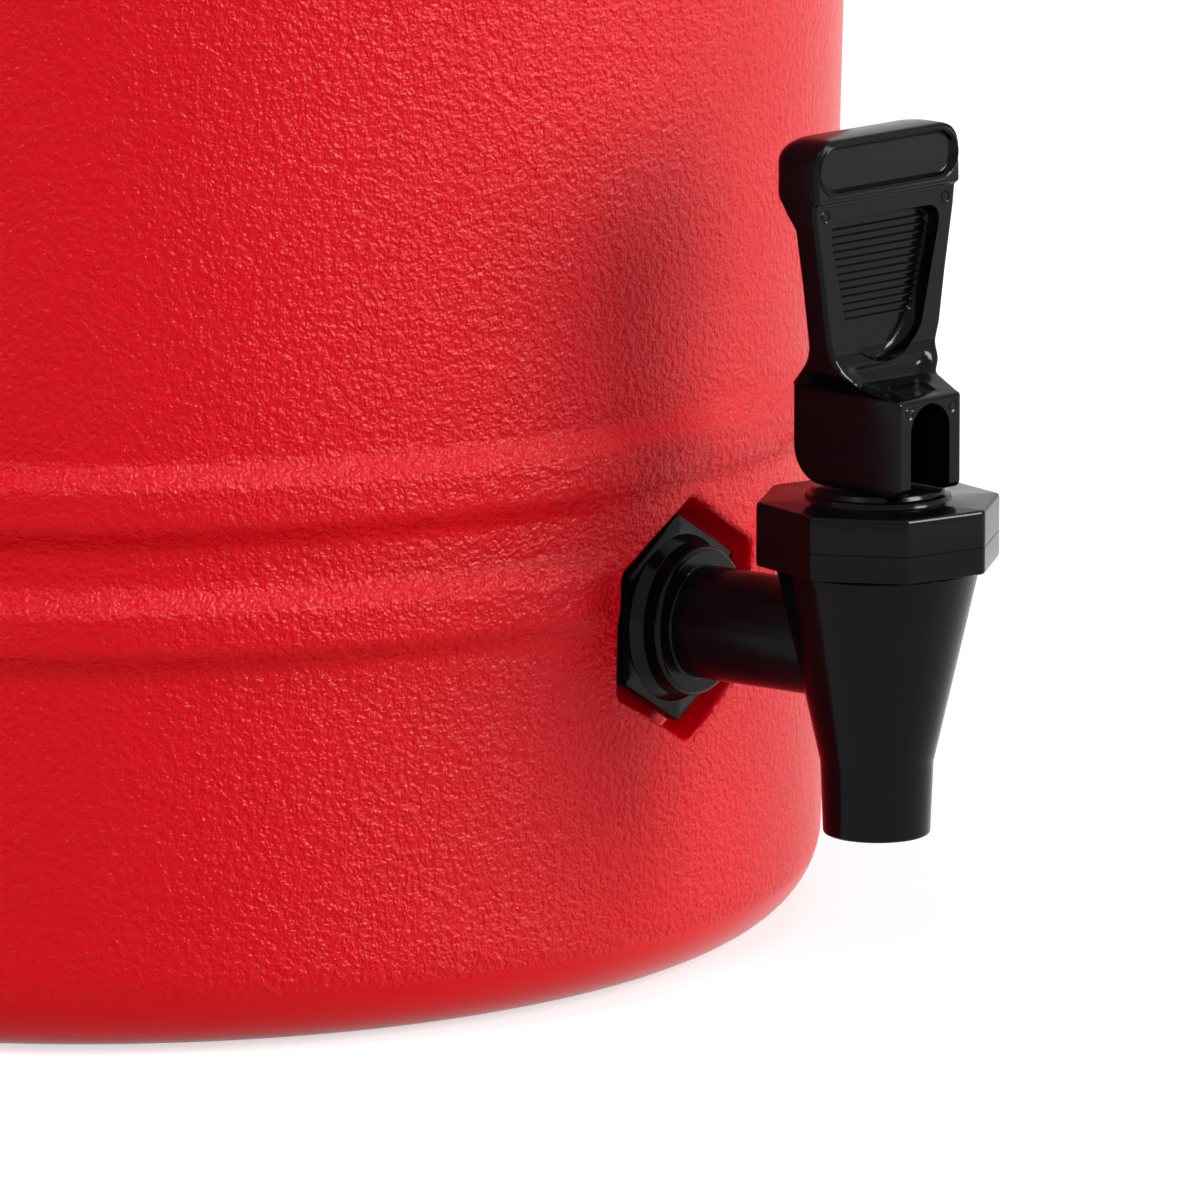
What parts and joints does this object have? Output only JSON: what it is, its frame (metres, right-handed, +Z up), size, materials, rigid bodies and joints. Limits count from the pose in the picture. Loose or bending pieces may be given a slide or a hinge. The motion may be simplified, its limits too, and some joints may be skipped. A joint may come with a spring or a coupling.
{
  "type": "insulated beverage dispenser",
  "caption": "Round insulated drink dispenser with a latched lid, side handles, raised hoops and a push-and-pull tap in a hexagonal pocket.",
  "frame": {"origin": "on the body's axis, on the surface that the base stands on", "axes": "+Z up, along the body's axis; -Y toward the tap; +X toward one side handle"},
  "size_m": [0.3752, 0.356, 0.3885],
  "materials": {
    "red_polyethylene": "rotomoulded polyethylene with a fine pebble grain",
    "natural_polyethylene": "smooth natural polyethylene",
    "foam": "closed-cell foam",
    "black_plastic": "glossy injection-moulded plastic",
    "silicone": "satin silicone",
    "steel": "stainless steel"
  },
  "bodies": {
    "container": {"outer_shell": "red_polyethylene", "foam_core": "foam", "inner_liner": "natural_polyethylene", "foam_fill_plug": "red_polyethylene", "tap_body": "black_plastic", "tap_bonnet": "black_plastic", "tap_outer_washer": "silicone", "tap_inner_washer": "silicone", "tap_nut": "black_plastic", "tap_sleeve": "natural_polyethylene", "latch_bracket_1": "black_plastic", "latch_pin_1": "steel", "latch_screw_1_1": "steel", "latch_screw_1_2": "steel", "latch_bracket_2": "black_plastic", "latch_pin_2": "steel", "latch_screw_2_1": "steel", "latch_screw_2_2": "steel", "latch_bracket_3": "black_plastic", "latch_pin_3": "steel", "latch_screw_3_1": "steel", "latch_screw_3_2": "steel", "latch_bracket_4": "black_plastic", "latch_pin_4": "steel", "latch_screw_4_1": "steel", "latch_screw_4_2": "steel", "side_handle_1": "black_plastic", "side_handle_screw_1_1": "steel", "side_handle_screw_1_2": "steel", "side_handle_2": "black_plastic", "side_handle_screw_2_1": "steel", "side_handle_screw_2_2": "steel"},
    "lid": {"lid_shell": "red_polyethylene", "lid_liner": "natural_polyethylene", "lid_foam": "foam", "lid_gasket": "silicone", "vent_bush": "black_plastic", "vent_seal": "silicone"},
    "vent_knob": {"vent_cap": "black_plastic"},
    "valve_cup": {"seat_cup": "silicone"},
    "stem": {"valve_stem": "black_plastic", "handle_pin": "steel"},
    "handle": {"tap_handle": "black_plastic"},
    "latch_arm_1": {"latch_1": "black_plastic"},
    "latch_arm_2": {"latch_2": "black_plastic"},
    "latch_arm_3": {"latch_3": "black_plastic"},
    "latch_arm_4": {"latch_4": "black_plastic"}
  },
  "joints": [
    {"name": "lid_lift", "type": "slide", "parent": "container", "child": "lid", "axis": [0, 0, 1], "range_m": [0, 0.06]},
    {"name": "vent_turn", "type": "hinge", "parent": "lid", "child": "vent_knob", "pos_m": [0, 0, 0.377], "axis": [0, 0, 1], "range_deg": [0, 90]},
    {"name": "valve_lift", "type": "slide", "parent": "container", "child": "valve_cup", "axis": [0, 0, 1], "range_m": [0, 0.0063], "stiffness_N_per_m": 300, "springref_m": -0.004},
    {"name": "handle_swivel", "type": "hinge", "parent": "valve_cup", "child": "stem", "pos_m": [0, -0.184, 0.09], "axis": [0, 0, 1], "range_deg": [-90, 90]},
    {"name": "handle_tilt", "type": "hinge", "parent": "stem", "child": "handle", "pos_m": [0, -0.184, 0.1158], "axis": [0.9903, -0.1392, 0], "range_deg": [0, 34]},
    {"name": "latch_1_hinge", "type": "hinge", "parent": "container", "child": "latch_arm_1", "pos_m": [0.11038, 0.11038, 0.28], "axis": [-0.7071, 0.7071, 0], "range_deg": [0, 116]},
    {"name": "latch_2_hinge", "type": "hinge", "parent": "container", "child": "latch_arm_2", "pos_m": [-0.11038, 0.11038, 0.28], "axis": [-0.7071, -0.7071, 0], "range_deg": [0, 116]},
    {"name": "latch_3_hinge", "type": "hinge", "parent": "container", "child": "latch_arm_3", "pos_m": [-0.11038, -0.11038, 0.28], "axis": [0.7071, -0.7071, 0], "range_deg": [0, 116]},
    {"name": "latch_4_hinge", "type": "hinge", "parent": "container", "child": "latch_arm_4", "pos_m": [0.11038, -0.11038, 0.28], "axis": [0.7071, 0.7071, 0], "range_deg": [0, 116]}
  ],
  "couplings": [
    {"joint": "latch_1_hinge", "follows": "lid_lift", "rad_per_m": 33.333},
    {"joint": "latch_2_hinge", "follows": "lid_lift", "rad_per_m": 33.333},
    {"joint": "latch_3_hinge", "follows": "lid_lift", "rad_per_m": 33.333},
    {"joint": "latch_4_hinge", "follows": "lid_lift", "rad_per_m": 33.333},
    {"joint": "handle_tilt", "follows": "valve_lift", "rad_per_m": 94.19}
  ]
}
